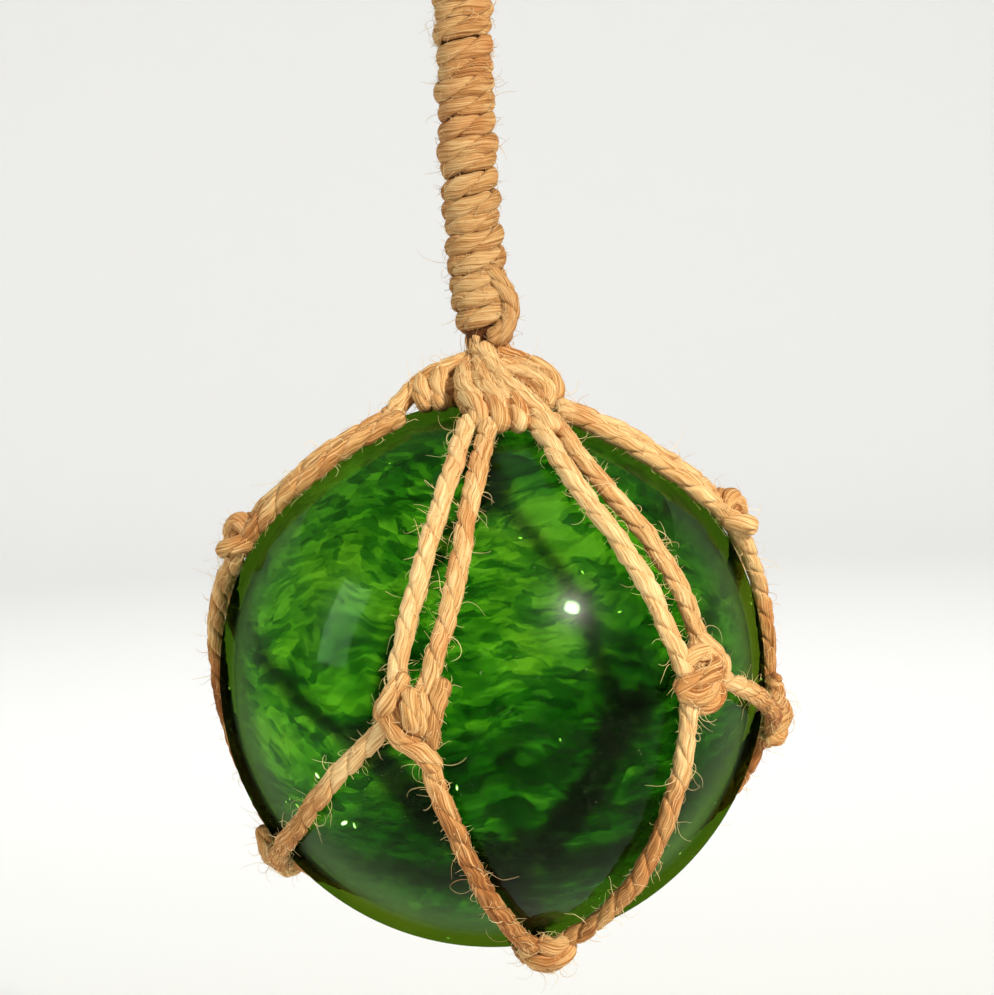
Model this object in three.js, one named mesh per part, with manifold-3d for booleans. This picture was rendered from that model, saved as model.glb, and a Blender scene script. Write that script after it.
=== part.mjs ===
import * as THREE from "three";
import { mergeVertices } from "three/addons/utils/BufferGeometryUtils.js";
import Module from "manifold-3d";

// A glass fishing float, carried in a knotted jute net and hung from a served rope.
// Millimetres, +Z up. Everything is built about the ball's centre. The whole is then
// lowered, so that the origin is the point inside the top loop where a hook bears.

// Glass and twine
const ballRadius = 62.5;
const ballSides = 30;
const ballRings = 15;
const twineRadius = 2.2;
const twineSides = 6;
const gap = 0.3; // clearance between pieces that touch
const cordRadius = ballRadius + gap + twineRadius; // from the ball's centre to a cord's own line
const pairSpacing = 2 * twineRadius + 2 * gap;
const cordStep = 10; // length of one straight facet of a cord

// Places on the ball are [turn, rise] in degrees: the turn about +Z from the front (-Y)
// towards +X, and the height above the ball's equator.
// Each leg of the net is a pair of cords. They leave the crown side by side and are tied
// to each other at the upper knot. The left cord goes on to the lower knot of the leg
// before, the right cord to this leg's own lower knot, and pairs run from there to the base.
// spread is half the width of the pair at its widest, and the bows are how far a span is
// pushed sideways, positive towards the right as seen from outside. skew bends a pair
// one way and then the other.
const legs = [
  {
    start: [-56, 71], upper: [-82, 31], lower: [-99, -40],
    spread: 2.6, bow: 5, skew: 0, leftBow: 1, rightBow: -12,
  },
  {
    start: [-2, 68], upper: [-16.5, 1.5], lower: [18.3, -60.8],
    spread: 4, bow: 3, skew: 0, leftBow: 1, rightBow: 0,
  },
  {
    start: [30, 67], upper: [41.6, 4.5], lower: [94, -12.5],
    spread: 4.1, bow: -4.6, skew: -1.9, leftBow: 2, rightBow: 0.5,
  },
  {
    start: [50, 71], upper: [84, 32], lower: [146, -20],
    spread: 2.8, bow: -6, skew: 0, leftBow: 8, rightBow: 2,
  },
  {
    start: [180, 73], upper: [180, 33], lower: [214, -24],
    spread: 3.2, bow: 1, skew: 0, leftBow: -2, rightBow: 1,
  },
];

// A knot is two bands of twine, one above the other, leaning opposite ways.
const knotWidth = 12.6;
const knotBandHeight = 8.6;
const knotProud = 7; // how far a knot stands off the glass
const knotBandShift = 2.6;
const knotBandLean = 18;

// The crown gathers the legs under the hanger, and the base gathers them behind the lowest
// point of the ball. Each leg ends there in a hitch, a lump that points away from the middle.
// The crown's hitches differ: a hitch is its place, and its width, length and height.
const crown = {
  centre: [0, 86],
  across: 23,
  height: 9.2,
  hitches: [
    { place: [-66, 80], size: [11, 14, 8] },
    { place: [4, 71], size: [10.5, 15, 7.4] },
    { place: [26, 72], size: [10.5, 15, 7.4] },
    { place: [68, 77], size: [12, 14, 9] },
    { place: [180, 78], size: [12, 15, 8] },
  ],
};
const baseCentre = [176, -62];
const baseAcross = 20;
const baseHeight = 7;
const baseHitchReach = 9;
const baseHitchSize = [11, 13, 6.4];
const knotFacets = [8, 4]; // round a lump of twine, and from its foot to its top
const hitchFacets = [8, 5];

// The hanger: rope served with twine from the crown's neck up, and a loop of doubled twine
const neckRadius = 5.4;
const hangerFoot = 75.4;
const hangerHead = 170;
const servingRadius = 6.7;
const servingValley = 6.0;
const servingPitch = 4.3;
const hangerSides = 8;
const footLean = 1.5; // how far the rope stands to the right at its foot
const headLean = -1.2; // and to the left at its head
const leanHeight = 120; // where the one has eased into the other
const bearingHeight = 213; // where a hook bears, above the ball's centre
const loopHalfWidth = 14;
const loopSteps = 16;

const juteColour = 0xc8964f;
const darkJuteColour = 0xa9783a;
const glassColour = 0x12691a;

const wasm = await Module();
wasm.setup();

const solidOf = (geometry) => {
  const bare = geometry.clone();
  bare.deleteAttribute("normal");
  bare.deleteAttribute("uv");
  const merged = mergeVertices(bare, 1e-4);
  return new wasm.Manifold(
    new wasm.Mesh({
      numProp: 3,
      vertProperties: merged.attributes.position.array,
      triVerts: new Uint32Array(merged.index.array),
    }),
  );
};

const geometryOf = (solid) => {
  const mesh = solid.getMesh();
  const geometry = new THREE.BufferGeometry();
  geometry.setAttribute("position", new THREE.BufferAttribute(mesh.vertProperties, 3));
  geometry.setIndex(new THREE.BufferAttribute(mesh.triVerts, 1));
  geometry.computeVertexNormals();
  return geometry;
};

// What is left of a cut piece, without the slivers that a passing cord shaves off
const mainBody = (solid) => solid.decompose().reduce((a, b) => (a.volume() > b.volume() ? a : b));

// The direction from the ball's centre to a place on it
const outward = ([turn, rise]) => {
  const a = THREE.MathUtils.degToRad(turn);
  const b = THREE.MathUtils.degToRad(rise);
  return new THREE.Vector3(Math.sin(a) * Math.cos(b), -Math.cos(a) * Math.cos(b), Math.sin(b));
};

const slerp = (start, end, t) => {
  const angle = start.angleTo(end);
  const along = start.clone().multiplyScalar(Math.sin((1 - t) * angle) / Math.sin(angle));
  return along.addScaledVector(end, Math.sin(t * angle) / Math.sin(angle));
};

// Points of one span over the ball, from place to place on the shortest line, pushed
// sideways by aside(t) millimetres. Its last point is left to the span that follows.
const spanPoints = (from, to, aside, count) => {
  const start = outward(from);
  const end = outward(to);
  const side = new THREE.Vector3().crossVectors(start, end).normalize();
  return Array.from({ length: count }, (_, i) => {
    const t = i / count;
    return slerp(start, end, t).addScaledVector(side, aside(t) / cordRadius).setLength(cordRadius);
  });
};

// One cord of the net from the crown to the base. hand is -1 for the left cord, 1 for the right.
const cordPath = (index, hand) => {
  const leg = legs[index];
  const lowerOwner = hand > 0 ? leg : legs[(index + legs.length - 1) % legs.length];
  const half = pairSpacing / 2;
  const singleBow = hand > 0 ? leg.rightBow : leg.leftBow;
  const middle = (t) => leg.bow * Math.sin(Math.PI * t) + leg.skew * Math.sin(2 * Math.PI * t);
  const upperSpan = (t) => middle(t) + hand * (half + (leg.spread - half) * Math.sin(Math.PI * t * t));
  const singleSpan = (t) => hand * half * (1 - 2 * t) + singleBow * Math.sin(Math.PI * t);
  const lowerSpan = () => -hand * half;
  const points = [
    ...spanPoints(leg.start, leg.upper, upperSpan, 8),
    ...spanPoints(leg.upper, lowerOwner.lower, singleSpan, 8),
    ...spanPoints(lowerOwner.lower, baseCentre, lowerSpan, 6),
  ];
  return new THREE.CatmullRomCurve3(points, false, "centripetal");
};

const section = (sides, halfWidth, halfHeight) =>
  new THREE.Shape(
    Array.from({ length: sides }, (_, i) => {
      const angle = (2 * Math.PI * (i + 0.5)) / sides;
      return new THREE.Vector2(halfWidth * Math.cos(angle), halfHeight * Math.sin(angle));
    }),
  );

const tube = (path, steps, shape) =>
  new THREE.ExtrudeGeometry(shape, { steps, bevelEnabled: false, extrudePath: path });

const twineTube = (path, radius) =>
  tube(path, Math.round(path.getLength() / cordStep), section(twineSides, radius, radius));

// A flattened ball of twine lying on the glass at a direction from the ball's centre, its
// length pointing away from the direction `from`, then turned by lean degrees
const lump = (out, from, [width, length, height], facets, lean, grow) => {
  const shape = new THREE.SphereGeometry(1, ...facets).rotateX(Math.PI / 2);
  shape.scale(width / 2 + grow, length / 2 + grow, height + grow);
  const across = new THREE.Vector3().crossVectors(out, from).normalize();
  const away = new THREE.Vector3().crossVectors(out, across);
  const foot = out.clone().multiplyScalar(ballRadius);
  const stand = new THREE.Matrix4().makeBasis(across, away, out).setPosition(foot);
  const spin = new THREE.Matrix4().makeRotationZ(THREE.MathUtils.degToRad(lean));
  return solidOf(shape.applyMatrix4(stand.multiply(spin)));
};

const glassShape = (grow) =>
  new THREE.SphereGeometry(ballRadius + grow, ballSides, ballRings).rotateX(Math.PI / 2);
const glassRoom = solidOf(glassShape(gap));

const pole = new THREE.Vector3(0, 0, 1);

const knot = ([turn, rise]) => {
  const shift = THREE.MathUtils.radToDeg(knotBandShift / ballRadius);
  const size = [knotWidth, knotBandHeight, knotProud];
  const band = (hand) =>
    lump(outward([turn, rise + hand * shift]), pole, size, knotFacets, hand * knotBandLean, 0);
  return band(1).add(band(-1));
};

// The middle of the crown or the base with its hitches, each a direction and a size
const gather = (middle, size, hitches, grow) =>
  hitches.reduce(
    (whole, hitch) => whole.add(lump(hitch.out, middle, hitch.size, hitchFacets, 0, grow)),
    lump(middle, hitches[0].out, size, hitchFacets, 0, grow),
  );

const crownShape = (grow) => {
  const hitches = crown.hitches.map(({ place, size }) => ({ out: outward(place), size }));
  const size = [crown.across, crown.across, crown.height];
  return gather(outward(crown.centre), size, hitches, grow).add(neck(grow));
};

const baseShape = (grow) => {
  const middle = outward(baseCentre);
  const hitches = legs.map(({ lower }) => {
    const leg = outward(lower);
    const share = baseHitchReach / ballRadius / middle.angleTo(leg);
    return { out: slerp(middle, leg, share), size: baseHitchSize };
  });
  return gather(middle, [baseAcross, baseAcross, baseHeight], hitches, grow);
};

const leanAt = (z) => {
  if (z > hangerHead) return (headLean * (bearingHeight - z)) / (bearingHeight - hangerHead);
  const below = Math.max(0, (leanHeight - z) / (leanHeight - hangerFoot));
  return headLean + (footLean - headLean) * below ** 2;
};

// Moves each point of an upright shape sideways with the rope's lean
const leaning = (geometry) => {
  const place = geometry.attributes.position;
  for (let i = 0; i < place.count; i += 1) place.setX(i, place.getX(i) + leanAt(place.getZ(i)));
  return geometry;
};

const turned = (profile, sides) => new THREE.LatheGeometry(profile, sides).rotateX(Math.PI / 2);

const neck = (grow) => {
  const profile = [
    [0, ballRadius],
    [neckRadius + 1.6 + grow, ballRadius],
    [neckRadius + grow, ballRadius + 9],
    [neckRadius + grow, hangerFoot - gap],
    [0, hangerFoot - gap],
  ];
  return solidOf(leaning(turned(profile.map(([r, z]) => new THREE.Vector2(r, z)), hangerSides)));
};

// The serving: one ridge for each turn of twine, closed flat at both ends
const hangerGeometry = () => {
  const turns = Math.round((hangerHead - hangerFoot) / servingPitch);
  const pitch = (hangerHead - hangerFoot) / turns;
  const profile = [new THREE.Vector2(0, hangerFoot)];
  for (let i = 0; i < turns; i += 1) {
    const foot = hangerFoot + i * pitch;
    profile.push(new THREE.Vector2(servingValley, foot));
    profile.push(new THREE.Vector2(servingRadius, foot + pitch / 2));
  }
  profile.push(new THREE.Vector2(servingValley, hangerHead));
  profile.push(new THREE.Vector2(0, hangerHead));
  return leaning(turned(profile, hangerSides));
};

// Two twines side by side, up one leg, over the hook and down the other
const loopGeometry = () => {
  const top = bearingHeight + twineRadius;
  const foot = hangerHead + gap;
  const rise = top - foot;
  const half = [
    [pairSpacing / 2, foot],
    [pairSpacing / 2 + 0.4, foot + 0.12 * rise],
    [0.62 * loopHalfWidth, foot + 0.36 * rise],
    [loopHalfWidth, foot + 0.62 * rise],
    [0.72 * loopHalfWidth, foot + 0.9 * rise],
  ];
  const line = [...half, [0, top], ...half.map(([x, z]) => [-x, z]).reverse()];
  const points = line.map(([x, z]) => new THREE.Vector3(x + leanAt(z), 0, z));
  const path = new THREE.CatmullRomCurve3(points, false, "centripetal");
  return tube(path, loopSteps, section(8, pairSpacing, twineRadius));
};

const float = new THREE.Group();
float.position.z = -bearingHeight;

const piece = (name, geometry, color, roughness) => {
  const mesh = new THREE.Mesh(geometry, new THREE.MeshStandardMaterial({ color, roughness, metalness: 0 }));
  mesh.name = name;
  float.add(mesh);
};

piece("glass_ball", glassShape(0), glassColour, 0.05);

const crownRoom = crownShape(gap);
const baseRoom = baseShape(gap);
piece("crown", geometryOf(crownShape(0).subtract(glassRoom)), juteColour, 0.85);
piece("base_gather", geometryOf(baseShape(0).subtract(glassRoom)), darkJuteColour, 0.85);

// The right cord of each leg is the one wrapped into the knots, so it carries their bulk.
// The left cord of the same leg runs through the upper knot, and the left cord of the
// leg after runs through the lower one.
legs.forEach((leg, index) => {
  const after = (index + 1) % legs.length;
  const leftPath = cordPath(index, -1);
  const left = solidOf(twineTube(leftPath, twineRadius));
  const right = solidOf(twineTube(cordPath(index, 1), twineRadius));
  const passing = solidOf(twineTube(leftPath, twineRadius + gap));
  const passingAfter = solidOf(twineTube(cordPath(after, -1), twineRadius + gap));
  const knotted = right.add(knot(leg.upper)).add(knot(leg.lower)).subtract(passing).subtract(passingAfter);
  const trimmed = (cord) => {
    const clear = cord.subtract(glassRoom).subtract(crownRoom).subtract(baseRoom);
    return geometryOf(mainBody(clear));
  };
  piece(`net_cord_${index + 1}_left`, trimmed(left), juteColour, 0.85);
  piece(`net_cord_${index + 1}_right`, trimmed(knotted), juteColour, 0.85);
});

piece("hanger", hangerGeometry(), juteColour, 0.85);
piece("hanging_loop", loopGeometry(), juteColour, 0.85);

export default float;
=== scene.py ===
import math

import bpy
import numpy as np
from mathutils import Matrix, Vector


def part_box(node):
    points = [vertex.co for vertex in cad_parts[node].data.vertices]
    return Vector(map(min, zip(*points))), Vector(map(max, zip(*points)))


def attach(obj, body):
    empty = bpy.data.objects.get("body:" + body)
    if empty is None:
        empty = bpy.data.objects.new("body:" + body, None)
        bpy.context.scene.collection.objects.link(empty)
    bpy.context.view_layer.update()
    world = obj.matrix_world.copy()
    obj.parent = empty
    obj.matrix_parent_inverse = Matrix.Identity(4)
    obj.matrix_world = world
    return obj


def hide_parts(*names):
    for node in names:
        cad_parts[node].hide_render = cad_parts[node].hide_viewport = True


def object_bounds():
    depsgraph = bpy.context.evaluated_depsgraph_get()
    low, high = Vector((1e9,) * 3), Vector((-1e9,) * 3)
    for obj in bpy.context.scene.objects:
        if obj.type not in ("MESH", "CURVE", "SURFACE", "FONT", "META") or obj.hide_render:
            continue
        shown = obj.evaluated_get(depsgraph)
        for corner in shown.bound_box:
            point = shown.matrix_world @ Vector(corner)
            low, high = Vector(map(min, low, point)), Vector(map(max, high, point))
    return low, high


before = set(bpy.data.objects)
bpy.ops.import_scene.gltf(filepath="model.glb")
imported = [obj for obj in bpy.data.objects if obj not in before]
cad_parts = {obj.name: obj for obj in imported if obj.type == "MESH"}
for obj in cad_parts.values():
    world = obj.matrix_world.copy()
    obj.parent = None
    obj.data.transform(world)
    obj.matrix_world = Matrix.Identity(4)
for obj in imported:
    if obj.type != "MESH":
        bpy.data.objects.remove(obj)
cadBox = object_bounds()
print("frame loaded:", len(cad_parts), "nodes")

mm = 0.001
glassLow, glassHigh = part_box("glass_ball")
ballCentre = np.array((glassLow + glassHigh) / 2)
ballRadius = (glassHigh.z - glassLow.z) / 2
up = np.array((0.0, 0.0, 1.0))


# Camera: looks a little down on the ball, and the ball hangs low in its view
camera = {
    "distance": 0.6,  # metres from the ball's centre
    "pitch": 10,  # degrees that the line to the ball's centre falls
    "ballBelow": 3.844,  # degrees from the middle of the view down to the ball
    "ballLeft": 0.1,
    "roll": 2.1,
    "lens": 93.96,
}


def addCamera():
    pitch = math.radians(camera["pitch"])
    forward = Vector((0, math.cos(pitch), -math.sin(pitch)))
    spin = Matrix.Rotation(math.radians(camera["roll"]), 3, forward)
    right = spin @ Vector((1, 0, 0))
    above = right.cross(forward)
    aim = Matrix.Rotation(math.radians(camera["ballBelow"]), 3, right)
    aim = aim @ Matrix.Rotation(-math.radians(camera["ballLeft"]), 3, above)
    axes = Matrix((aim @ right, aim @ above, -(aim @ forward))).transposed()
    data = bpy.data.cameras.new("camera")
    data.lens = camera["lens"]
    data.clip_start = 0.01
    made = bpy.data.objects.new("camera", data)
    place = Vector(ballCentre) - forward * camera["distance"]
    made.matrix_world = Matrix.Translation(place) @ axes.to_4x4()
    bpy.context.scene.collection.objects.link(made)
    bpy.context.scene.camera = made


addCamera()
print("camera placed")


# Lines in space
def unit(v):
    return v / np.linalg.norm(v, axis=-1, keepdims=True)


def smoothLine(points, step):
    # centripetal spline through the points, then evenly spaced
    p = np.array(points, float)
    p = np.vstack([2 * p[0] - p[1], p, 2 * p[-1] - p[-2]])
    chords = np.linalg.norm(np.diff(p, axis=0), axis=1)
    knots = np.concatenate([[0], np.cumsum(np.sqrt(chords))])
    perSpan = 30
    found = []
    for i in range(1, len(p) - 2):
        t = np.linspace(knots[i], knots[i + 1], perSpan, endpoint=i == len(p) - 3)[:, None]

        def between(a, b, j, k):
            return ((knots[k] - t) * a + (t - knots[j]) * b) / (knots[k] - knots[j])

        first = between(p[i - 1], p[i], i - 1, i)
        second = between(p[i], p[i + 1], i, i + 1)
        third = between(p[i + 1], p[i + 2], i + 1, i + 2)
        early = between(first, second, i - 1, i + 1)
        late = between(second, third, i, i + 2)
        found.append(between(early, late, i, i + 1))
    line = np.vstack(found)
    run = np.concatenate([[0], np.cumsum(np.linalg.norm(np.diff(line, axis=0), axis=1))])
    even = np.linspace(0, run[-1], max(4, int(round(run[-1] / step)) + 1))
    return np.stack([np.interp(even, run, line[:, k]) for k in range(3)], axis=1)


def framesAlong(line, hint):
    # tangent, and two normals: hint is a normal at each point, or one at the start that is carried on
    tangent = unit(np.gradient(line, axis=0))
    hint = np.array(hint, float)
    if hint.ndim == 2:
        normal = unit(hint - (hint * tangent).sum(1, keepdims=True) * tangent)
    else:
        normal = np.empty_like(line)
        for i, t in enumerate(tangent):
            hint = unit(hint - (hint @ t) * t)
            normal[i] = hint
    return tangent, normal, np.cross(tangent, normal)


def slowNoise(rng, count, step, size):
    # smooth wander of about unit height, with features of that size along a line
    run = np.arange(count) * step
    total = np.zeros(count)
    for octave in (0.5, 1, 2):
        wave = 2 * np.pi * octave / size * rng.uniform(0.8, 1.25)
        total += np.sin(run * wave + rng.uniform(0, 2 * np.pi)) / (0.6 + octave)
    return total / 1.2


# Meshes: tubes are gathered in a bundle and become one piece
def quadsBetween(index, following):
    corners = [index[:-1], following[:-1], following[1:], index[1:]]
    return np.stack(corners, axis=-1).reshape(-1, 4)


class Bundle:
    def __init__(self):
        self.points, self.faces = [], []
        self.lay, self.depth, self.tone = [], [], []
        self.count = 0

    def add(self, points, faces, lay, depth, tone):
        self.points.append(points)
        self.faces += [[k + self.count for k in face] for face in faces]
        self.lay.append(lay)
        self.depth.append(depth)
        self.tone.append(tone)
        self.count += len(points)

    def rings(self, points, lay, depth, tone):
        # points is rings x sides x 3, closed flat at both ends
        rows, sides = points.shape[:2]
        index = np.arange(rows * sides).reshape(rows, sides)
        following = np.roll(index, -1, axis=1)
        faces = quadsBetween(index, following).tolist() + [index[0][::-1].tolist(), index[-1].tolist()]
        self.add(points.reshape(-1, 3), faces, lay.reshape(-1, 3), depth.reshape(-1), tone.reshape(-1))

    def piece(self, name, material, nodes=()):
        mesh = bpy.data.meshes.new(name)
        mesh.from_pydata(np.vstack(self.points).tolist(), [], self.faces)
        for key, kind, value in (
            ("lay", "FLOAT_VECTOR", np.vstack(self.lay)),
            ("depth", "FLOAT", np.concatenate(self.depth)),
            ("tone", "FLOAT", np.concatenate(self.tone)),
        ):
            layer = mesh.attributes.new(key, kind, "POINT")
            field = "vector" if kind == "FLOAT_VECTOR" else "value"
            layer.data.foreach_set(field, np.ascontiguousarray(value, np.float32).ravel())
        mesh.polygons.foreach_set("use_smooth", [True] * len(mesh.polygons))
        mesh.materials.append(material)
        mesh.update()
        made = bpy.data.objects.new(name, mesh)
        bpy.context.scene.collection.objects.link(made)
        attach(made, "root")
        if nodes:
            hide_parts(*nodes)
        triangles = sum(len(face) - 2 for face in self.faces)
        print(f"{name}: {triangles} triangles")
        return made


# Two-ply twine
twine = {
    "step": 0.6 * mm,
    "lay": 13.5 * mm,  # length of one full turn of the plies
    "offset": 0.72 * mm,  # from the twine's own line to the middle of a ply
    "plyWidth": 1.42 * mm,  # half sizes of a ply, away from its partner and across
    "plyHeight": 1.92 * mm,
    "sides": 16,
    "counter": 1.3,  # how far the fibres of a ply turn back against the plies
    "ridges": 0.03,  # how deep the bundles of fibre stand in a ply
    "ridgeCounts": (3, 5, 7),
    "ridgeLength": 9 * mm,
    "slub": 0.08,  # how much a ply swells and thins
    "slubLength": 11 * mm,
    "wander": 0.18 * mm,  # how far the twine strays from its line
    "wanderLength": 17 * mm,
    "slack": 0.25,  # how unevenly the plies turn
    "slackLength": 23 * mm,
    "blunt": 3,  # steps over which an end rounds off
}


def layTwine(bundle, line, hint, rng, thickness=1.0, tone=0.5, flatten=1.0):
    # flatten below 1 presses the twine flat along the hint; tone is one value or one for each point
    count = len(line)
    step = twine["step"]
    _, normal, cross = framesAlong(line, hint)

    def drift(length):
        return slowNoise(rng, count, step, length)

    wander = twine["wander"] * np.stack([drift(twine["wanderLength"]) for _ in range(3)], axis=1)
    place = np.arange(count)
    fromEnd = np.minimum(place, place[::-1])
    middle = line + wander * np.minimum(1, fromEnd / 8)[:, None]
    turn = rng.uniform(0, 2 * np.pi) - 2 * np.pi * place * step / twine["lay"] / thickness
    turn = turn + twine["slack"] * drift(twine["slackLength"])
    phi = np.linspace(0, 2 * np.pi, twine["sides"], endpoint=False)[None, :]
    taper = np.clip(fromEnd / twine["blunt"], 0, 1)
    taper = (0.35 + 0.65 * np.sqrt(taper * (2 - taper)))[:, None]
    for ply in (0, 1):
        angle = (turn + ply * np.pi)[:, None]
        spun = phi + twine["counter"] * angle
        swell = 1 + twine["slub"] * drift(twine["slubLength"])[:, None]
        bumps = sum(
            np.sin(k * spun + rng.uniform(0, 6) + 1.2 * drift(twine["ridgeLength"])[:, None])
            * rng.uniform(0.5, 1)
            for k in twine["ridgeCounts"]
        )
        size = thickness * swell * taper * (1 + twine["ridges"] * bumps)
        along = thickness * twine["offset"] * taper + twine["plyWidth"] * size * np.cos(phi)
        across = twine["plyHeight"] * size * np.sin(phi)
        proud = (along * np.cos(angle) - across * np.sin(angle)) * flatten
        aside = along * np.sin(angle) + across * np.cos(angle)
        points = middle[:, None, :] + proud[..., None] * normal[:, None, :]
        points = points + aside[..., None] * cross[:, None, :]
        radius = twine["plyHeight"]
        run = np.broadcast_to((place * step)[:, None], spun.shape)
        seed = rng.uniform(0, 0.5, 3)
        lay = np.stack([radius * np.cos(spun), radius * np.sin(spun), run], axis=-1) + seed
        reach = np.hypot(along, across) / (thickness * (twine["offset"] + twine["plyWidth"]))
        plyTone = np.broadcast_to(tone, count)[:, None] + rng.uniform(-0.1, 0.1) + 0 * spun
        bundle.rings(points, lay, reach, plyTone)
    return middle


def layPad(bundle, points, radii, rng, tone=0.45):
    # a soft core of fibre that fills a knot or hitch under its turns; its tone is lower than theirs,
    # painted shade under the turns
    step = twine["step"]
    line = smoothLine(points, step)
    count = len(line)
    aslant = (0.31, 0.17, 0.94)  # along no pad
    _, normal, cross = framesAlong(line, unit(np.cross(line[-1] - line[0], aslant)))
    run = np.arange(count) * step
    wide = np.interp(np.linspace(0, 1, count), np.linspace(0, 1, len(radii)), radii) * mm
    ends = np.clip(np.minimum(run, run[::-1]) / wide, 0, 1)
    wide = wide * np.sqrt(ends * (2 - ends) * 0.96 + 0.04)  # round ends
    phi = np.linspace(0, 2 * np.pi, twine["sides"], endpoint=False)[None, :]
    swell = sum(
        rng.uniform(0.5, 1) * np.sin(k * phi + 1.5 * slowNoise(rng, count, step, 8 * mm)[:, None])
        for k in (3, 4, 6)
    )
    size = wide[:, None] * (1 + 0.04 * swell)
    around = normal[:, None, :] * np.cos(phi)[..., None] + cross[:, None, :] * np.sin(phi)[..., None]
    lay = np.stack([size * np.cos(phi), size * np.sin(phi), run[:, None] + 0 * phi], axis=-1)
    lay = lay + rng.uniform(0, 0.5, 3)
    bundle.rings(line[:, None, :] + around * size[..., None], lay, 0.7 + 0 * size, tone + 0 * size)


# Loose fibres that stand off the twine
fuzz = {
    "perMillimetre": 5.0,  # of twine
    "longShare": 0.2,
    "shortLength": (0.7 * mm, 2.5 * mm),
    "longLength": (2.5 * mm, 8.5 * mm),
    "shortRadius": 0.07 * mm,
    "longRadius": 0.085 * mm,
    "shortSegments": 3,
    "longSegments": 7,
    "shortCurl": 0.5,
    "longCurl": 0.8,
    "clear": 0.15 * mm,  # the least room between a fibre and the glass
}


def addFuzz(bundle, line, hint, rng, reach=2.0 * mm, density=1.0, clearBall=True):
    tangent, normal, cross = framesAlong(line, hint)
    everyFibre = len(line) * twine["step"] / mm * fuzz["perMillimetre"] * density
    for size, share in (("short", 1 - fuzz["longShare"]), ("long", fuzz["longShare"])):
        count = int(everyFibre * share)
        low, high = fuzz[size + "Length"]
        segments = fuzz[size + "Segments"]
        at = rng.integers(1, len(line) - 1, count)
        angle = rng.uniform(0, 2 * np.pi, (count, 1))
        off = normal[at] * np.cos(angle) + cross[at] * np.sin(angle)
        side = normal[at] * np.sin(angle) - cross[at] * np.cos(angle)
        heading = unit(
            rng.choice([-1.0, 1.0], (count, 1)) * tangent[at] * rng.uniform(0.2, 1.2, (count, 1))
            + off * rng.uniform(0.15, 1.0, (count, 1))
            + side * rng.normal(0, 0.5, (count, 1))
        )
        curl = unit(rng.normal(size=(count, 3))) * rng.uniform(0.1, fuzz[size + "Curl"], (count, 1))
        stride = (low + (high - low) * rng.uniform(size=(count, 1)) ** 1.6) / segments
        place = line[at] + off * reach * rng.uniform(0.75, 0.98, (count, 1))
        places = [place]
        for _ in range(segments):
            heading = unit(heading + np.cross(curl, heading) + rng.normal(0, 0.1, (count, 3)))
            place = place + heading * stride
            places.append(place)
        spine = np.stack(places, axis=1)
        if clearBall:
            away = spine - ballCentre
            distance = np.linalg.norm(away, axis=2, keepdims=True)
            spine = ballCentre + away * np.maximum(1, (ballRadius + fuzz["clear"]) / distance)
        addFibres(bundle, spine, fuzz[size + "Radius"] * rng.uniform(0.7, 1.2, count), rng)


def addFibres(bundle, spine, thick, rng):
    # spine is fibres x points x 3; each fibre is a three-sided closed tube that thins to its tip
    count, rows = spine.shape[:2]
    corners = (0, 2.094, 4.189)  # thirds of a turn
    direction = unit(np.gradient(spine, axis=1))
    last = unit(np.cross(direction[:, 0], unit(rng.normal(size=(count, 3)))))
    rings = []
    for k in range(rows):
        last = unit(last - (last * direction[:, k]).sum(1, keepdims=True) * direction[:, k])
        other = np.cross(direction[:, k], last)
        wide = (thick * (1 - 0.7 * k / (rows - 1)))[:, None]
        ring = [spine[:, k] + wide * (last * math.cos(a) + other * math.sin(a)) for a in corners]
        rings.append(np.stack(ring, axis=1))
    points = np.stack(rings, axis=1)
    index = np.arange(rows * 3).reshape(rows, 3)
    following = np.roll(index, -1, axis=1)
    starts = (np.arange(count) * rows * 3)[:, None, None]
    faces = (quadsBetween(index, following)[None] + starts).reshape(-1, 4).tolist()
    caps = np.array([[2, 1, 0], [rows * 3 - 3, rows * 3 - 2, rows * 3 - 1]])
    faces += (caps[None] + starts).reshape(-1, 3).tolist()
    flat = points.reshape(-1, 3)
    seeds = np.repeat(rng.uniform(0, 0.5, (count, 3)), rows * 3, axis=0)
    tone = np.repeat(rng.uniform(0.7, 1.4, count), rows * 3)
    bundle.add(flat, faces, seeds, np.ones(len(flat)), tone)


# The net: each leg is a pair of cords from the crown to an upper knot, and there each goes its own
# way to a lower knot. Places are turn and rise in degrees, and bows push a span sideways in mm.
net = {
    "cordRadius": ballRadius + 2.5 * mm,
    "pairSpacing": 5 * mm,
    "baseCentre": (176, -62),
    "frontTone": 0.62,  # how pale a cord's colour is at the crown
    "toneDrop": 0.26,  # how much darker it is past its upper knot
    "dropAt": 0.42,
    "legs": [
        {
            "start": (-56, 71), "upper": (-82, 31), "lower": (-99, -40),
            "spread": 2.6, "bow": 5, "skew": 0, "leftBow": 1, "rightBow": -12,
        },
        {
            "start": (-2, 68), "upper": (-16.5, 1.5), "lower": (18.3, -60.8),
            "spread": 4, "bow": 3, "skew": 0, "leftBow": 1, "rightBow": 0,
        },
        {
            "start": (30, 67), "upper": (41.6, 4.5), "lower": (94, -12.5),
            "spread": 4.1, "bow": -4.6, "skew": -1.9, "leftBow": 2, "rightBow": 0.5,
        },
        {
            "start": (50, 71), "upper": (84, 32), "lower": (146, -20),
            "spread": 2.8, "bow": -6, "skew": 0, "leftBow": 8, "rightBow": 2,
        },
        {
            "start": (180, 73), "upper": (180, 33), "lower": (214, -24),
            "spread": 3.2, "bow": 1, "skew": 0, "leftBow": -2, "rightBow": 1,
        },
    ],
}


def outward(place):
    turn, rise = np.radians(place)
    return np.array((np.sin(turn) * np.cos(rise), -np.cos(turn) * np.cos(rise), np.sin(rise)))


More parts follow.
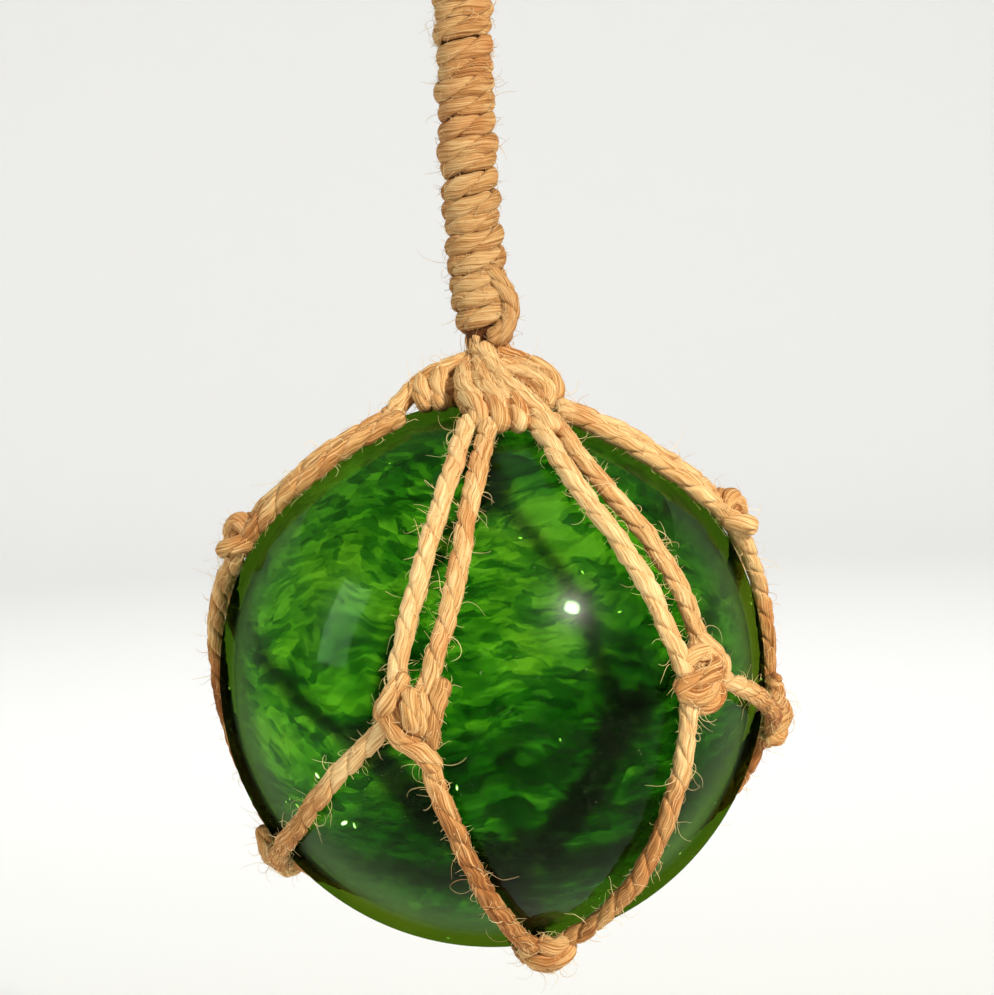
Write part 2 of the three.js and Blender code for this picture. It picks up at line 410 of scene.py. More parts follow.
def spanPoints(begin, finish, aside, count):
    start, end = outward(begin), outward(finish)
    side = unit(np.cross(start, end))
    angle = np.arccos(start @ end)
    found = []
    for i in range(count):
        t = i / count
        point = (np.sin((1 - t) * angle) * start + np.sin(t * angle) * end) / np.sin(angle)
        point = point + side * aside(t) * mm / net["cordRadius"]
        found.append(ballCentre + unit(point) * net["cordRadius"])
    return found


def cordLine(index, hand):
    # hand is -1 for the left cord of a leg and 1 for the right
    leg = net["legs"][index]
    owner = leg if hand > 0 else net["legs"][index - 1]
    half = net["pairSpacing"] / mm / 2
    singleBow = leg["rightBow"] if hand > 0 else leg["leftBow"]

    def upperSpan(t):
        middle = leg["bow"] * math.sin(math.pi * t) + leg["skew"] * math.sin(2 * math.pi * t)
        return middle + hand * (half + (leg["spread"] - half) * math.sin(math.pi * t * t))

    def singleSpan(t):
        return hand * half * (1 - 2 * t) + singleBow * math.sin(math.pi * t)

    points = spanPoints(leg["start"], leg["upper"], upperSpan, 8)
    points += spanPoints(leg["upper"], owner["lower"], singleSpan, 8)
    points += spanPoints(owner["lower"], net["baseCentre"], lambda t: -hand * half, 6)
    return smoothLine(points, twine["step"])


# Knots: cores and turns of twine, each a row of points (right, up, height above the glass) in mm
knotCores = {
    "thumb": [(-2.2, 4.0, 2.8), (0.6, 0.0, 3.2), (2.8, -4.0, 2.8)],
    "wrapped": [(-2.4, 2.4, 2.8), (0.0, 0.0, 3.4), (1.6, -3.2, 2.8)],
    "crossed": [(-3.0, 0.0, 2.8), (0.0, 0.4, 3.4), (3.0, 0.0, 2.8)],
}
knotTurns = {
    "thumb": [
        [(0.2, 9.4, 2.6), (-1.0, 6.4, 4.4), (-2.2, 3.8, 5.6), (-3.8, 2.0, 4.2), (-4.6, 0.4, 1.8)],
        [(1.2, 5.6, 2.8), (1.9, 3.4, 5.4), (2.3, 0.8, 5.8), (2.4, -1.6, 4.0)],
        [(3.2, 5.0, 2.4), (3.9, 2.6, 4.6), (3.8, 0.0, 4.6), (3.2, -2.6, 3.2)],
        [
            (-3.2, 2.2, 2.2), (-2.4, -0.6, 5.0), (-0.5, -2.9, 5.8), (2.0, -4.8, 5.0),
            (4.4, -7.4, 3.4), (6.2, -10.6, 2.6),
        ],
        [(8.0, 8.6, 2.4), (6.8, 4.0, 3.0), (5.9, 0.2, 3.6), (5.4, -3.0, 3.4), (4.8, -6.0, 2.8)],
    ],
    "wrapped": [
        [(-3.0, 3.2, 1.8), (-1.0, 5.2, 3.6), (2.2, 5.4, 3.8), (4.6, 3.8, 2.4)],
        [(1.6, 9.4, 2.6), (3.6, 6.0, 4.2), (5.0, 3.0, 5.2), (4.8, 0.2, 4.6), (2.9, -1.5, 2.8)],
        [(-5.2, -1.7, 1.8), (-3.8, 0.1, 4.2), (-0.7, 1.2, 6.2), (2.3, 2.0, 6.2), (4.2, 3.2, 4.0)],
        [(-5.0, -1.6, 2.2), (-2.8, -2.7, 4.8), (0.3, -1.9, 5.8), (2.2, -0.4, 4.6)],
        [(4.0, -0.6, 2.8), (3.6, -3.0, 4.7), (1.4, -4.6, 4.7), (-1.2, -4.9, 2.8)],
    ],
    "crossed": [
        [
            (-4.2, -2.2, 1.4), (-3.8, -0.2, 4.0), (-1.0, 2.0, 5.8), (2.0, 3.0, 5.4),
            (3.8, 1.8, 3.2), (4.2, 0.0, 1.4),
        ],
        [
            (4.2, 0.0, 1.4), (3.6, -2.2, 3.8), (0.8, -3.6, 5.6), (-2.0, -3.0, 5.0),
            (-3.8, -1.2, 2.8), (-4.2, 0.8, 1.4),
        ],
        [(-3.0, 3.2, 1.6), (-0.6, 4.4, 3.6), (2.0, 4.0, 3.4), (3.4, 2.6, 1.6)],
    ],
}


def localPoint(place, spin, x, y, height, size=1.0):
    # a point beside a place on the ball, in millimetres right, up and off the glass there
    out = outward(place)
    right = unit(np.cross(up, out))
    above = np.cross(out, right)
    c, s = math.cos(math.radians(spin)), math.sin(math.radians(spin))
    x, y = size * (x * c - y * s), size * (x * s + y * c)
    away = unit(out * ballRadius + (right * x + above * y) * mm)
    return ballCentre + away * (ballRadius + height * mm)


def tieKnot(bundle, place, style, rng, spin=0, mirror=1, tone=0.5, size=1.0):
    def pointsOf(turn):
        return [localPoint(place, spin, mirror * x, y, h, size) for x, y, h in turn]

    # the core's tone is lowered: painted shade under the turns
    layPad(bundle, pointsOf(knotCores[style]), (2.6, 3.1, 2.6), rng, tone - 0.15)
    for turn in knotTurns[style]:
        line = smoothLine(pointsOf(turn), twine["step"])
        layTwine(bundle, line, outward(place), rng, thickness=rng.uniform(0.95, 1.08), tone=tone)
        addFuzz(bundle, line, outward(place), rng, density=1.1)


# Crown: turns of twine at the top of the ball, as (right, back, height above the glass) in mm
crownTurns = {
    "neckFront": [
        (0.4, -3.6, 13.0), (2.8, -10.0, 8.8), (6.0, -16.4, 6.6), (9.2, -20.4, 5.2),
        (12.2, -23.4, 4.4), (15.0, -27.0, 2.8),
    ],
    "neckMiddle": [
        (-0.6, -3.2, 12.6), (1.6, -8.6, 8.6), (3.6, -14.6, 6.2), (5.4, -19.4, 4.8),
        (7.0, -23.4, 3.6),
    ],
    "bulgeRight": [
        (-0.4, -5.0, 9.4), (-0.2, -10.4, 7.8), (0.8, -16.8, 6.4), (2.8, -22.4, 5.4),
        (3.4, -25.6, 3.4), (2.6, -24.2, 1.4),
    ],
    "bulgeLeft": [
        (-2.6, -5.0, 8.4), (-3.4, -10.4, 7.2), (-3.0, -16.4, 6.0), (-1.4, -21.4, 5.0),
        (-0.8, -24.4, 3.2), (-1.6, -22.8, 1.4),
    ],
    "bulgeSmall": [
        (3.8, -8.0, 7.6), (5.2, -16.2, 5.6), (7.2, -22.4, 4.6), (7.6, -25.0, 2.8),
        (6.8, -23.4, 1.4),
    ],
    "hitchLeftA": [
        (-8.2, -12.6, 1.2), (-9.0, -10.6, 4.0), (-8.8, -7.0, 7.0), (-7.8, -2.4, 7.4),
        (-7.0, 1.0, 4.8),
    ],
    "hitchLeftB": [
        (-11.6, -11.0, 1.2), (-12.2, -9.4, 4.0), (-12.0, -5.8, 6.8), (-11.0, -1.8, 6.6),
        (-10.2, 1.2, 3.6),
    ],
    "topLeft": [
        (0.6, -2.4, 10.4), (-4.0, -3.4, 9.4), (-8.6, -4.2, 8.4), (-13.0, -5.6, 6.4),
        (-17.6, -8.0, 3.6), (-21.0, -10.4, 2.4),
    ],
    "knobTop": [
        (1.4, -2.0, 11.4), (6.0, -2.2, 10.2), (10.4, -3.2, 9.0), (14.0, -5.0, 7.4),
        (15.4, -7.4, 4.6), (14.2, -9.6, 2.2),
    ],
    "knobLow": [
        (3.0, -5.4, 9.0), (7.4, -6.8, 8.0), (11.2, -8.8, 6.6), (13.4, -11.6, 4.4),
        (12.8, -14.0, 2.0),
    ],
    "backLeft": [
        (-1.6, 2.0, 10.0), (-3.6, 7.0, 8.4), (-4.4, 12.4, 6.0), (-3.4, 16.8, 4.4),
        (-3.0, 19.2, 2.6), (-2.0, 17.4, 1.4),
    ],
    "backRight": [
        (1.6, 2.0, 10.0), (3.4, 7.0, 8.0), (3.8, 12.4, 6.2), (2.8, 17.0, 4.6), (2.6, 19.4, 2.6),
        (1.6, 17.8, 1.4),
    ],
    "backAcross": [
        (-8.6, 5.0, 1.4), (-7.2, 7.6, 4.6), (-2.6, 9.6, 7.8), (2.6, 9.4, 7.8), (7.2, 6.6, 4.8),
        (8.4, 3.8, 1.4),
    ],
    "hitchRight": [
        (8.4, -1.8, 7.4), (11.6, 0.6, 5.6), (13.4, -3.0, 6.6), (14.6, -7.0, 5.0), (13.6, -9.6, 2.2),
    ],
}
# soft cores under those turns, in a lower tone as painted shade
crownCores = [
    [(0.0, -1.0, 12.0), (0.4, -2.0, 7.0), (0.0, -4.0, 3.4)],
    [(-1.0, -4.0, 6.0), (-2.6, -12.0, 4.2), (-2.4, -20.0, 2.8)],
    [(2.0, -5.0, 6.0), (5.0, -13.0, 4.2), (8.6, -20.0, 2.6)],
    [(-3.0, -2.0, 6.0), (-9.0, -4.6, 4.2), (-14.0, -6.6, 2.6)],
    [(-3.0, -8.0, 4.0), (-8.0, -8.6, 3.6), (-11.0, -8.6, 2.8)],
    [(3.0, -3.0, 6.4), (8.0, -4.6, 5.4), (12.6, -6.8, 3.2)],
    [(0.0, 2.0, 6.0), (-0.4, 8.0, 4.6), (-0.4, 15.0, 2.8)],
    [(4.0, -8.0, 4.2), (10.0, -12.0, 3.4), (13.0, -17.0, 2.4)],
]


def crownPoint(x, y, height):
    out = np.array((x, y, math.sqrt((ballRadius / mm) ** 2 - x * x - y * y)))
    return ballCentre + unit(out) * (ballRadius + height * mm)


# Materials
def tint(red, green, blue):
    # screen colour from 0 to 255 as the renderer's linear colour
    def linear(c):
        c = c / 255
        return c / 12.92 if c <= 0.04045 else ((c + 0.055) / 1.055) ** 2.4

    return (linear(red), linear(green), linear(blue), 1.0)


class Wire:
    # an output socket that takes part in plain arithmetic
    def __init__(self, sheet, socket):
        self.sheet, self.socket = sheet, socket

    def maths(self, operation, first, second):
        return self.sheet.node("ShaderNodeMath", {"operation": operation}, {0: first, 1: second})

    def __add__(self, other):
        return self.maths("ADD", self, other)

    def __sub__(self, other):
        return self.maths("SUBTRACT", self, other)

    def __rsub__(self, other):
        return self.maths("SUBTRACT", other, self)

    def __mul__(self, other):
        return self.maths("MULTIPLY", self, other)

    __radd__ = __add__
    __rmul__ = __mul__


class Sheet:
    def __init__(self, name, world=False):
        self.owner = bpy.data.worlds.new(name) if world else bpy.data.materials.new(name)
        self.owner.use_nodes = True
        self.tree = self.owner.node_tree
        self.tree.nodes.clear()

    def node(self, kind, settings, sockets, output=0):
        made = self.tree.nodes.new(kind)
        for key, value in settings.items():
            if key == "stops":
                ramp = made.color_ramp
                while len(ramp.elements) < len(value):
                    ramp.elements.new(0.5)
                for element, (position, colour) in zip(ramp.elements, value):
                    element.position, element.color = position, colour
            else:
                setattr(made, key, value)
        for key, value in sockets.items():
            if isinstance(value, Wire):
                self.tree.links.new(value.socket, made.inputs[key])
            else:
                made.inputs[key].default_value = value
        return Wire(self, made.outputs[output]) if len(made.outputs) else None

    def mix(self, factor, first, second, blend="MIX"):
        # the colours of a Mix node are sockets 6 and 7, and come out at 2
        settings = {"data_type": "RGBA", "blend_type": blend}
        return self.node("ShaderNodeMix", settings, {0: factor, 6: first, 7: second}, 2)

    def vector(self, operation, first, second):
        return self.node("ShaderNodeVectorMath", {"operation": operation}, {0: first, 1: second})

    def place(self):
        return self.node("ShaderNodeTexCoord", {}, {}, "Object")

    def noise(self, vector, scale=1.0, detail=2.0, roughness=0.5, distortion=0.0):
        sockets = {"Vector": vector, "Scale": scale, "Detail": detail}
        sockets.update({"Roughness": roughness, "Distortion": distortion})
        return self.node("ShaderNodeTexNoise", {}, sockets)

    def smooth(self, value, low, high):
        sockets = {"Value": value, "From Min": low, "From Max": high}
        return self.node("ShaderNodeMapRange", {"interpolation_type": "SMOOTHSTEP"}, sockets)

    def ramp(self, value, stops):
        return self.node("ShaderNodeValToRGB", {"stops": stops}, {"Fac": value})

    def principled(self, sockets):
        return self.node("ShaderNodeBsdfPrincipled", {}, sockets)

    def blend(self, factor, first, second):
        return self.node("ShaderNodeMixShader", {}, {0: factor, 1: first, 2: second})

    def finish(self, surface):
        self.node("ShaderNodeOutputMaterial", {}, {"Surface": surface})
        return self.owner


jute = {
    "fibreWidth": 0.14 * mm,
    "fibreLength": 6 * mm,
    "strandFibres": 3,  # how many fibres wide a strand is
    "strandScale": 110,  # along the twine, to the metre
    "patchScale": 95,
    "shadow": (124, 78, 38),
    "middle": (200, 150, 90),
    "light": (244, 216, 162),
    "orange": (222, 150, 78),  # over patches
    "orangeShare": 0.45,
    # painted shade: the colour the jute darkens toward in the groove between two plies
    "grooveShadeColour": (96, 56, 24),
    "groove": 0.55,  # how dark the painted shade in the groove between two plies is
    "servingShade": (0.5, 0.42, 0.36, 1),  # linear, painted shade over all the jute of the hanger
    "bump": 0.9,
    "bumpDepth": 0.12 * mm,
}


def juteMaterial(name, servingShadeShare):
    sheet = Sheet(name)
    lay = sheet.node("ShaderNodeAttribute", {"attribute_name": "lay"}, {}, "Vector")
    depth = sheet.node("ShaderNodeAttribute", {"attribute_name": "depth"}, {}, "Fac")
    tone = sheet.node("ShaderNodeAttribute", {"attribute_name": "tone"}, {}, "Fac")
    fine = 1 / jute["fibreWidth"]
    coarse = fine / jute["strandFibres"]
    fibreLay = sheet.vector("MULTIPLY", lay, (fine, fine, 1 / jute["fibreLength"]))
    strandLay = sheet.vector("MULTIPLY", lay, (coarse, coarse, jute["strandScale"]))
    fibres = sheet.noise(fibreLay, 1.0, 3.0, 0.6, 0.2)
    strands = sheet.noise(strandLay)
    patches = sheet.noise(sheet.place(), jute["patchScale"])
    level = sheet.smooth(fibres * 0.6 + strands * 0.55 + (tone - 0.5) * 0.45 - 0.08, 0.28, 0.78)
    stops = ((0.0, "shadow"), (0.42, "middle"), (1.0, "light"))
    colour = sheet.ramp(level, [(at, tint(*jute[key])) for at, key in stops])
    orange = sheet.smooth(patches - (tone - 0.5) * 0.7, 0.35, 0.75)
    colour = sheet.mix(orange * jute["orangeShare"], colour, tint(*jute["orange"]), "MULTIPLY")
    # painted shade: the colour darkens toward the groove between the plies, where shade falls
    clearOfGrooveShade = sheet.smooth(depth, 0.25, 0.85)
    colour = sheet.mix((1 - clearOfGrooveShade) * jute["groove"], colour, tint(*jute["grooveShadeColour"]), "MULTIPLY")
    # painted shade: the hanger's jute is darkened all over, a shaded copy of the twine's colour
    colour = sheet.mix(servingShadeShare, colour, jute["servingShade"], "MULTIPLY")
    relief = {
        "Strength": jute["bump"],
        "Distance": jute["bumpDepth"],
        "Height": fibres * 0.7 + strands * 0.5,
    }
    shader = sheet.principled(
        {
            "Base Color": colour,
            "Roughness": 0.9 - 0.2 * level,
            "Normal": sheet.node("ShaderNodeBump", {}, relief),
            "Specular IOR Level": 0.2,
        }
    )
    return sheet.finish(shader)


glass = {
    "wall": 3.2 * mm,
    "ripple": 0.18 * mm,  # how far the inner skin waves in and out
    "ripples": 14,  # how many waves are added up
    "index": 1.22,
    "broadDabs": (7.5 * mm, 5 * mm, 2.6 * mm),  # length, depth and width
    "broadLean": -34,  # degrees
    "fineDabs": (3.8 * mm, 3 * mm, 1.2 * mm),
    "fineLean": 24,
    "softness": 0.12,  # of the dabs' borders
    "warp": 16 * mm,
    "fray": 2.2 * mm,
    # colours of the outer skin as pairs, between which it clouds
    "body": ((0.13, 0.42, 0.015, 1), (0.22, 0.58, 0.03, 1)),
    # the edge pair is painted shade over the rim, partly standing for the thick wall
    "edge": ((0.03, 0.09, 0.003, 1), (0.075, 0.13, 0.005, 1)),
    "dust": (205, 215, 165),
    # colours of the inner skin, from the darkest dabs to the palest: partly the glass's own streaky
    # tint, partly painted light and shade of surroundings seen through it, with painted highlights at
    # the pale end
    "greensShadeToLight": [
        (0.12, (0.003, 0.02, 0.01, 1)),
        (0.34, (0.012, 0.1, 0.04, 1)),
        (0.50, (0.055, 0.26, 0.09, 1)),
        (0.66, (0.26, 0.48, 0.16, 1)),
        (0.80, (0.55, 0.8, 0.3, 1)),
        (0.98, (0.85, 1.0, 0.8, 1)),
    ],
    "olive": (1.0, 0.55, 0.3, 1),
    "oliveShare": 0.5,
}


def outerGlass():
    sheet = Sheet("green glass outer skin")
    place = sheet.place()
    clouds = sheet.noise(place, 24)
    edge = sheet.node("ShaderNodeLayerWeight", {}, {"Blend": 0.5}, "Facing")
    haze = sheet.smooth(clouds, 0.32, 0.68) * (1 - edge)
    clouding = sheet.smooth(clouds, 0.35, 0.65)
    clear = sheet.principled(
        {
            "Base Color": sheet.mix(clouding, *glass["body"]),
            "Roughness": 0.0,
            "IOR": glass["index"],
            "Transmission Weight": 1.0,
            "Specular Tint": (0.16, 0.3, 0.16, 1),
            "Coat Weight": haze * 0.2 + 0.01,
            "Coat Roughness": 0.24,
            "Coat IOR": 1.35,
        }
    )
    # seen edge on, the thick wall darkens the glass; the rest of this dark rim colour, with its
    # mirroring taken out, is painted shade set by how the skin faces the camera
    rimShadeColour = sheet.mix(clouding, *glass["edge"])
    sockets = {"Base Color": rimShadeColour, "Roughness": 0.0, "IOR": 1.0, "Transmission Weight": 1.0}
    thick = sheet.principled(sockets)
    clear = sheet.blend(sheet.smooth(edge, 0.5, 0.75), clear, thick)
    dust = sheet.principled({"Base Color": tint(*glass["dust"]), "Roughness": 0.9})
    patches = sheet.smooth(sheet.noise(place, 60, 2.0, 0.6), 0.42, 0.68)
    specks = sheet.smooth(sheet.noise(place, 2300, 1.0), 0.70, 0.80)
    film = sheet.smooth(sheet.noise(place, 260, 3.0, 0.65), 0.40, 0.8)
    cover = specks * (patches * 0.28 + 0.04) + film * 0.004
    return sheet.finish(sheet.blend(cover, clear, dust))


def innerGlass():
    sheet = Sheet("green glass inner skin")
    place = sheet.place()

    def pushed(vector, scale, size):
        sockets = {"Vector": place, "Scale": scale, "Detail": 1.0}
        drift = sheet.node("ShaderNodeTexNoise", {}, sockets, "Color")
        push = sheet.vector("MULTIPLY", sheet.vector("SUBTRACT", drift, (0.5, 0.5, 0.5)), (size,) * 3)
        return sheet.vector("ADD", vector, push)

    warped = pushed(pushed(place, 34, glass["warp"]), 260, glass["fray"])

    def dabs(size, lean):
        # brush-like flakes of colour, one value to each: partly streaks in the glass's tint, partly
        # painted light and shade of surroundings seen through the glass
        scale = tuple(1 / along for along in size)
        turned = {"Vector": warped, "Rotation": (0, math.radians(lean), 0), "Scale": scale}
        leaned = sheet.node("ShaderNodeMapping", {}, turned)
        sockets = {"Vector": leaned, "Scale": 1.0, "Smoothness": glass["softness"]}
        cells = sheet.node("ShaderNodeTexVoronoi", {"feature": "SMOOTH_F1"}, sockets, "Color")
        return sheet.node("ShaderNodeSeparateColor", {}, {"Color": cells}, "Red")

    broad = dabs(glass["broadDabs"], glass["broadLean"])
    fine = dabs(glass["fineDabs"], glass["fineLean"])
    clouds = sheet.noise(place, 26)
    # painted light and shade: the inner skin is painted darker to the right and at the bottom, and
    # lighter toward the top
    rightward = sheet.node("ShaderNodeSeparateXYZ", {}, {"Vector": place}, "X")
    upward = sheet.node("ShaderNodeSeparateXYZ", {}, {"Vector": place}, "Z")
    low = sheet.smooth(upward * -1.0, 0.005, 0.05)
    level = (broad - 0.5) * 0.52 + (fine - 0.5) * 0.4 + (clouds - 0.5)
    # painted shade to the right and at the bottom, painted light toward the top
    level = level + 0.55 - rightward * 2.0 + upward * 0.6 - low * 0.22
    colour = sheet.ramp(level, glass["greensShadeToLight"])
    olive = sheet.smooth(sheet.noise(place, 45, 1.0), 0.5, 0.72)
    colour = sheet.mix(olive * glass["oliveShare"], colour, glass["olive"], "MULTIPLY")
    shader = sheet.principled(
        {
            "Base Color": colour,
            "Roughness": 0.12 + 0.18 * clouds,
            "IOR": glass["index"],
            "Transmission Weight": 1.0,
            "Specular Tint": (0.3, 0.26, 0.03, 1),
        }
    )
    return sheet.finish(shader)


def bubbleGlintMaterial():
    # an air bubble in the wall; its light is a painted glint, for it glows by itself
    sheet = Sheet("bubble wall")
    shade = sheet.smooth(sheet.noise(sheet.place(), 900), 0.35, 0.65)
    colour = sheet.mix(shade, (0.6, 0.95, 0.45, 1), (1.0, 1.0, 0.85, 1))
    sockets = {"Base Color": colour, "Roughness": 0.2}
    # painted glint: the bubble glows though it is no lamp
    sockets.update({"Emission Color": colour, "Emission Strength": 0.9})
    return sheet.finish(sheet.principled(sockets))


juteTwine = juteMaterial("jute twine", 0.0)
# the serving's jute is the twine's, with painted shade over it
juteServing = juteMaterial("jute serving", 0.55)
print("jute mixed")


# Hanger: rope core, served round with one twine
hanger = {
    "foot": 75.4,  # heights above the ball's centre, in millimetres
    "head": 170.0,
    "bearing": 213.0,
    "footLean": 1.5,  # how far to the right the rope's line is there
    "headLean": -1.2,
    "leanHeight": 120.0,  # above it the rope is straight
    "pitch": 4.3,
    "turnRadius": 4.9,
    "coreRadius": 4.4,
    "coreSides": 20,
    "press": 0.74,  # how flat the serving lies
    "thickness": 1.14,  # of its twine
    "start": -1.2,  # where round the rope it starts, in radians
    "perTurn": 40,
    "uneven": (0.5, 70),  # how far a turn strays up or down, and over what length
    "proud": (0.35, 45),  # the same for in or out
    # the steep turn over the foot of the serving, as (height, right, back)
    "steep": [
        (93, 2.0, -3.0), (89.5, 4.8, -4.2), (85, 6.3, -4.0),
        (81, 5.8, -4.6), (78.2, 3.6, -5.4), (76.6, 0.4, -5.4),
    ],
    "diameter": 13.4 * mm,
}


def leanAt(height):
    if height > hanger["head"]:
        return hanger["headLean"] * (hanger["bearing"] - height) / (hanger["bearing"] - hanger["head"])
    below = max(0, (hanger["leanHeight"] - height) / (hanger["leanHeight"] - hanger["foot"]))
    return hanger["headLean"] + (hanger["footLean"] - hanger["headLean"]) * below**2


def ropePoint(height, x=0.0, y=0.0):
    return ballCentre + np.array((x + leanAt(height), y, height)) * mm


def buildHanger(rng):
    bundle = Bundle()
    steps = np.arange(hanger["foot"], hanger["head"] + 0.01, 1.0)
    core = smoothLine([ropePoint(z) for z in steps], 1.0 * mm)
    _, normal, cross = framesAlong(core, (1, 0, 0))
    phi = np.linspace(0, 2 * np.pi, hanger["coreSides"], endpoint=False)
    ring = normal[:, None] * np.cos(phi)[None, :, None] + cross[:, None] * np.sin(phi)[None, :, None]
    points = core[:, None] + ring * hanger["coreRadius"] * mm
    # the rope core takes the darkest tone and the full groove darkening: painted shade between the
    # turns of the serving
    bundle.rings(points, points + 0.1, np.full(points.shape[:2], 0.3), np.full(points.shape[:2], 0.2))
    turns = (hanger["head"] - hanger["foot"]) / hanger["pitch"] - 1
    angle = np.linspace(0, 2 * np.pi * turns, int(turns * hanger["perTurn"])) + hanger["start"]
    climb = np.linspace(0, 1, len(angle))
    strayed = []
    apart = 0.8  # between two points of a turn
    for far, length in (hanger["uneven"], hanger["proud"]):
        strayed.append(slowNoise(rng, len(angle), apart, length) * far)
    serve = []
    for a, t, u, p in zip(angle, climb, *strayed):
        height = hanger["foot"] + hanger["pitch"] / 2 + t * turns * hanger["pitch"]
        height = min(hanger["head"] - 2, max(hanger["foot"] + 1.6, height + u))
        radius = hanger["turnRadius"] + p
        serve.append(ropePoint(height, radius * math.cos(a), radius * math.sin(a)))
    line = smoothLine(serve, twine["step"])
    spine = np.array([ropePoint((z - ballCentre[2]) / mm) for z in line[:, 2]])
    layTwine(bundle, line, line - spine, rng, hanger["thickness"], 0.54, hanger["press"])
    steep = smoothLine([ropePoint(z, x, y) for z, x, y in hanger["steep"]], twine["step"])
    layTwine(bundle, steep, (1, -1, 0), rng, tone=0.6)
    made = bundle.piece("hanger_rope", juteServing, ["hanger"])
    hairs = Bundle()
    addFuzz(hairs, line, line - spine, rng, density=0.9)
    addFuzz(hairs, steep, (1, 0, 0), rng, density=1.2)
    fibres = hairs.piece("hanger_fibres", juteServing)
    return made, fibres, core


# Loop over the hanger: two twines side by side
hangingLoop = {
    "halfWidth": 14.0,
    "buried": 3,  # how far its ends run down into the serving
    "above": 2.2,  # middle of the twine above the place where a hook bears
    "aside": 2.4,  # half the distance between the two twines
}


def buildLoop(rng):
    bundle = Bundle()
    foot = hanger["head"] - hangingLoop["buried"]
    rise = hanger["bearing"] + hangingLoop["above"] - foot
    wide = hangingLoop["halfWidth"]
    # half its course, as (right, share of the rise)
    half = [(2.5, 0), (2.9, 0.12), (0.62 * wide, 0.36), (wide, 0.62), (0.72 * wide, 0.9)]
    route = half + [(0, 1)] + [(-x, t) for x, t in half[::-1]]
    for side in (-hangingLoop["aside"], hangingLoop["aside"]):
        points = [ropePoint(foot + t * rise, x, side) for x, t in route]
        line = smoothLine(points, twine["step"])
        layTwine(bundle, line, (0, 1, 0), rng, tone=0.5)
        addFuzz(bundle, line, (0, 1, 0), rng, density=0.8, clearBall=False)
    return bundle.piece("top_loop", juteServing, ["hanging_loop"])


rng = np.random.default_rng(41)
rope, ropeFibres, ropeLine = buildHanger(rng)
loop = buildLoop(rng)
print("hanger made")


# Net cords and their knots: leg, end, style, spin in degrees and mirror
knots = [
    (0, "upper", "crossed", 20, 1),
    (1, "upper", "thumb", 0, 1),
    (2, "upper", "wrapped", 0, 1),
    (3, "upper", "crossed", -20, -1),
    (4, "upper", "wrapped", 0, -1),
    (0, "lower", "thumb", -30, -1),
    (1, "lower", "crossed", 0, 1),
    (2, "lower", "wrapped", 10, 1),
    (3, "lower", "thumb", 20, 1),
    (4, "lower", "crossed", -10, -1),
]


def buildCord(index, hand, side, rng):
    bundle = Bundle()
    line = cordLine(index, hand)
    along = np.linspace(0, 1, len(line))
    darker = np.clip((along - net["dropAt"]) * 12, 0, 1)
    tone = net["frontTone"] - net["toneDrop"] * darker + 0.06 * rng.uniform(-1, 1)
    middle = layTwine(bundle, line, line - ballCentre, rng, tone=tone, flatten=0.95)
    addFuzz(bundle, middle, line - ballCentre, rng)
    if hand > 0:
        for leg, end, style, spin, mirror in knots:
            if leg == index:
                tieKnot(bundle, net["legs"][leg][end], style, rng, spin, mirror)
    name = f"net_cord_{index + 1}_{side}"
    bundle.piece(name + "_twine", juteTwine, [name])


for index in range(len(net["legs"])):
    buildCord(index, -1, "left", rng)
    buildCord(index, 1, "right", rng)
print("net made")


# Neck: strands that run down out of the serving into the crown
neck = {
    "strands": 5,
    "start": 0.4,  # where round the rope the first one is, in radians
    "above": 3,  # how far up in the serving they start, in millimetres
    "fall": 14,
    "radius": 2.9,
    "flare": 2.4,
    "twist": 1.1,
}


def buildCrown(rng):
    bundle = Bundle()
    for core in crownCores:
        # cores in a lower tone than the turns: painted shade under them
        layPad(bundle, [crownPoint(*p) for p in core], (3.6, 3.4, 2.4), rng, 0.4)
    for turn in crownTurns.values():
        line = smoothLine([crownPoint(*p) for p in turn], twine["step"])
        layTwine(bundle, line, up, rng, thickness=rng.uniform(1.0, 1.12), tone=0.58)
        addFuzz(bundle, line, up, rng, density=1.3)
    for k in range(neck["strands"]):
        points = []
        for t in np.linspace(0, 1, 7):
            height = hanger["foot"] + neck["above"] - neck["fall"] * t
            radius = neck["radius"] + neck["flare"] * t**2
            a = 2 * math.pi * k / neck["strands"] + neck["start"] - neck["twist"] * t
            points.append(ropePoint(height, radius * math.cos(a), radius * math.sin(a)))
        layTwine(bundle, smoothLine(points, twine["step"]), (1, 0, 0), rng, tone=0.5)
    bundle.piece("crown_hitches", juteTwine, ["crown"])


# Base: two knots over each other, and a turn over each leg's cords beside them
base = {
    "tone": 0.45,
    "knots": [("wrapped", 15, 1.25), ("crossed", 80, 1.1)],  # style, spin and size
    "turnsOut": 11 * mm,  # along the glass from the middle of the base
    # as (aside, height above the glass)
    "turn": [(-6.2, 0.8), (-5.6, 3.4), (-2.4, 6.2), (2.4, 6.2), (5.6, 3.4), (6.2, 0.8)],
}


def buildBase(rng):
    bundle = Bundle()
    place = net["baseCentre"]
    for style, spin, size in base["knots"]:
        tieKnot(bundle, place, style, rng, spin, 1, base["tone"], size)
    middle = outward(place)
    for leg in net["legs"]:
        toward = outward(leg["lower"])
        angle = math.acos(middle @ toward)
        t = base["turnsOut"] / ballRadius / angle
        spot = unit(math.sin((1 - t) * angle) * middle + math.sin(t * angle) * toward)
        side = unit(np.cross(middle, toward))
        points = []
        for x, h in base["turn"]:
            points.append(ballCentre + unit(spot * ballRadius + side * x * mm) * (ballRadius + h * mm))
        line = smoothLine(points, twine["step"])
        layTwine(bundle, line, spot, rng, tone=base["tone"])
        addFuzz(bundle, line, spot, rng)
    bundle.piece("base_hitches", juteTwine, ["base_gather"])


